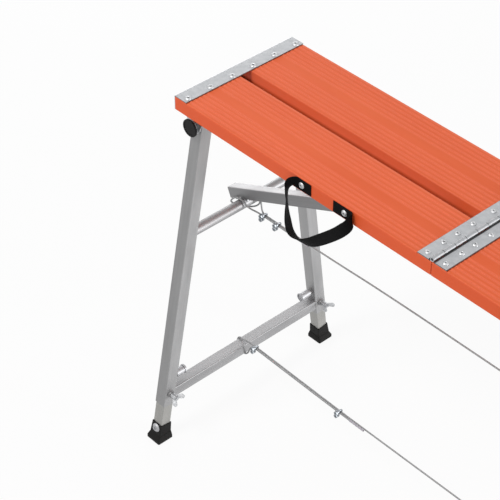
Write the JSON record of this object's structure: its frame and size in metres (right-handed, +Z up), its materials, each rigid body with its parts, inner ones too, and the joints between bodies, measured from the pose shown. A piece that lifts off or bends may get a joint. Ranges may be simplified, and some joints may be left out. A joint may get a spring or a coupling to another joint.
{
  "type": "hop up work platform",
  "caption": "Folding work platform: a ribbed orange deck hinged in the middle on two splayed telescopic leg frames, braced by struts and wire stays, with webbing carry straps.",
  "frame": {"origin": "on the floor, under the middle of the centre hinge", "axes": "+X along the deck, +Y to the rear, away from the carry straps, +Z up"},
  "size_m": [1.3324, 0.5104, 0.8298],
  "materials": {
    "orange_plank": "orange powder coat over extruded aluminium",
    "galvanised_plate": "galvanised sheet steel",
    "mill_aluminium": "mill finish extruded tube",
    "bright_zinc": "bright zinc plate",
    "wire_rope": "galvanised wire rope",
    "grey_sleeve": "matt sleeve",
    "black_rubber": "moulded rubber",
    "black_plastic": "moulded plastic",
    "black_webbing": "woven webbing"
  },
  "bodies": {
    "left_deck": {"left_front_plank": "orange_plank", "left_rear_plank": "orange_plank", "left_end_plate": "galvanised_plate", "left_hinge_leaf": "galvanised_plate", "left_deck_rivets": "bright_zinc", "left_pivot_brackets": "galvanised_plate", "left_strut_bracket": "galvanised_plate", "left_strut_pivot_bolt": "bright_zinc", "left_carry_strap": "black_webbing", "hinge_pin": "bright_zinc", "upper_stay": "wire_rope", "lower_stay": "wire_rope", "stay_clips": "bright_zinc", "stay_end_sleeves": "grey_sleeve"},
    "right_deck": {"right_front_plank": "orange_plank", "right_rear_plank": "orange_plank", "right_end_plate": "galvanised_plate", "right_hinge_leaf": "galvanised_plate", "right_deck_rivets": "bright_zinc", "right_pivot_brackets": "galvanised_plate", "right_strut_bracket": "galvanised_plate", "right_strut_pivot_bolt": "bright_zinc", "right_carry_strap": "black_webbing"},
    "left_leg_frame": {"left_front_outer_leg": "mill_aluminium", "left_rear_outer_leg": "mill_aluminium", "left_round_crosstube": "mill_aluminium", "left_crossbar": "mill_aluminium", "left_pivot_bolts": "bright_zinc", "left_pivot_caps": "black_plastic"},
    "left_strut_arm": {"left_strut": "mill_aluminium", "left_strut_saddle": "bright_zinc"},
    "left_front_leg_extension": {"left_front_inner_leg": "mill_aluminium", "left_front_foot": "black_rubber", "left_front_foot_screw": "bright_zinc"},
    "left_front_pull_pin_body": {"left_front_pull_pin": "bright_zinc"},
    "left_front_wing_bolt_body": {"left_front_wing_bolt": "bright_zinc"},
    "left_rear_leg_extension": {"left_rear_inner_leg": "mill_aluminium", "left_rear_foot": "black_rubber", "left_rear_foot_screw": "bright_zinc"},
    "left_rear_pull_pin_body": {"left_rear_pull_pin": "bright_zinc"},
    "left_rear_wing_bolt_body": {"left_rear_wing_bolt": "bright_zinc"},
    "right_leg_frame": {"right_front_outer_leg": "mill_aluminium", "right_rear_outer_leg": "mill_aluminium", "right_round_crosstube": "mill_aluminium", "right_crossbar": "mill_aluminium", "right_pivot_bolts": "bright_zinc", "right_pivot_caps": "black_plastic"},
    "right_strut_arm": {"right_strut": "mill_aluminium", "right_strut_saddle": "bright_zinc"},
    "right_front_leg_extension": {"right_front_inner_leg": "mill_aluminium", "right_front_foot": "black_rubber", "right_front_foot_screw": "bright_zinc"},
    "right_front_pull_pin_body": {"right_front_pull_pin": "bright_zinc"},
    "right_front_wing_bolt_body": {"right_front_wing_bolt": "bright_zinc"},
    "right_rear_leg_extension": {"right_rear_inner_leg": "mill_aluminium", "right_rear_foot": "black_rubber", "right_rear_foot_screw": "bright_zinc"},
    "right_rear_pull_pin_body": {"right_rear_pull_pin": "bright_zinc"},
    "right_rear_wing_bolt_body": {"right_rear_wing_bolt": "bright_zinc"}
  },
  "joints": [
    {"name": "deck_fold", "type": "hinge", "parent": "left_deck", "child": "right_deck", "pos_m": [0, 0, 0.8253], "axis": [0, -1, 0], "range_deg": [0, 180]},
    {"name": "left_leg_fold", "type": "hinge", "parent": "left_deck", "child": "left_leg_frame", "pos_m": [-0.6135, 0, 0.769], "axis": [0, -1, 0], "range_deg": [0, 88], "deforming": ["left_carry_strap", "upper_stay", "lower_stay", "stay_clips", "stay_end_sleeves"]},
    {"name": "left_strut_swing", "type": "hinge", "parent": "left_deck", "child": "left_strut_arm", "pos_m": [-0.0884, 0, 0.779], "axis": [0, 1, 0], "range_deg": [0, 24.5]},
    {"name": "left_front_leg_slide", "type": "slide", "parent": "left_leg_frame", "child": "left_front_leg_extension", "axis": [-0.0284, -0.1521, -0.988], "range_m": [0, 0.2]},
    {"name": "left_front_pin_pull", "type": "slide", "parent": "left_leg_frame", "child": "left_front_pull_pin_body", "axis": [0, 1, 0], "range_m": [-0.005, 0]},
    {"name": "left_front_wing_turn", "type": "hinge", "parent": "left_leg_frame", "child": "left_front_wing_bolt_body", "pos_m": [-0.63201, -0.21645, 0.125], "axis": [0.9996, 0, -0.0287], "range_deg": [0, 360]},
    {"name": "left_rear_leg_slide", "type": "slide", "parent": "left_leg_frame", "child": "left_rear_leg_extension", "axis": [-0.0284, 0.1521, -0.988], "range_m": [0, 0.2]},
    {"name": "left_rear_pin_pull", "type": "slide", "parent": "left_leg_frame", "child": "left_rear_pull_pin_body", "axis": [0, -1, 0], "range_m": [-0.005, 0]},
    {"name": "left_rear_wing_turn", "type": "hinge", "parent": "left_leg_frame", "child": "left_rear_wing_bolt_body", "pos_m": [-0.63201, 0.21645, 0.125], "axis": [0.9996, 0, -0.0287], "range_deg": [0, 360]},
    {"name": "right_leg_fold", "type": "hinge", "parent": "right_deck", "child": "right_leg_frame", "pos_m": [0.6135, 0, 0.769], "axis": [0, 1, 0], "range_deg": [0, 88], "deforming": ["right_carry_strap"]},
    {"name": "right_strut_swing", "type": "hinge", "parent": "right_deck", "child": "right_strut_arm", "pos_m": [0.0884, 0, 0.779], "axis": [0, -1, 0], "range_deg": [0, 24.5]},
    {"name": "right_front_leg_slide", "type": "slide", "parent": "right_leg_frame", "child": "right_front_leg_extension", "axis": [0.0284, -0.1521, -0.988], "range_m": [0, 0.2]},
    {"name": "right_front_pin_pull", "type": "slide", "parent": "right_leg_frame", "child": "right_front_pull_pin_body", "axis": [0, 1, 0], "range_m": [-0.005, 0]},
    {"name": "right_front_wing_turn", "type": "hinge", "parent": "right_leg_frame", "child": "right_front_wing_bolt_body", "pos_m": [0.63201, -0.21645, 0.125], "axis": [-0.9996, 0, -0.0287], "range_deg": [0, 360]},
    {"name": "right_rear_leg_slide", "type": "slide", "parent": "right_leg_frame", "child": "right_rear_leg_extension", "axis": [0.0284, 0.1521, -0.988], "range_m": [0, 0.2]},
    {"name": "right_rear_pin_pull", "type": "slide", "parent": "right_leg_frame", "child": "right_rear_pull_pin_body", "axis": [0, -1, 0], "range_m": [-0.005, 0]},
    {"name": "right_rear_wing_turn", "type": "hinge", "parent": "right_leg_frame", "child": "right_rear_wing_bolt_body", "pos_m": [0.63201, 0.21645, 0.125], "axis": [-0.9996, 0, -0.0287], "range_deg": [0, 360]}
  ],
  "couplings": [
    {"joint": "left_strut_swing", "follows": "left_leg_fold", "ratio": 0.2762},
    {"joint": "right_strut_swing", "follows": "right_leg_fold", "ratio": 0.2762}
  ]
}
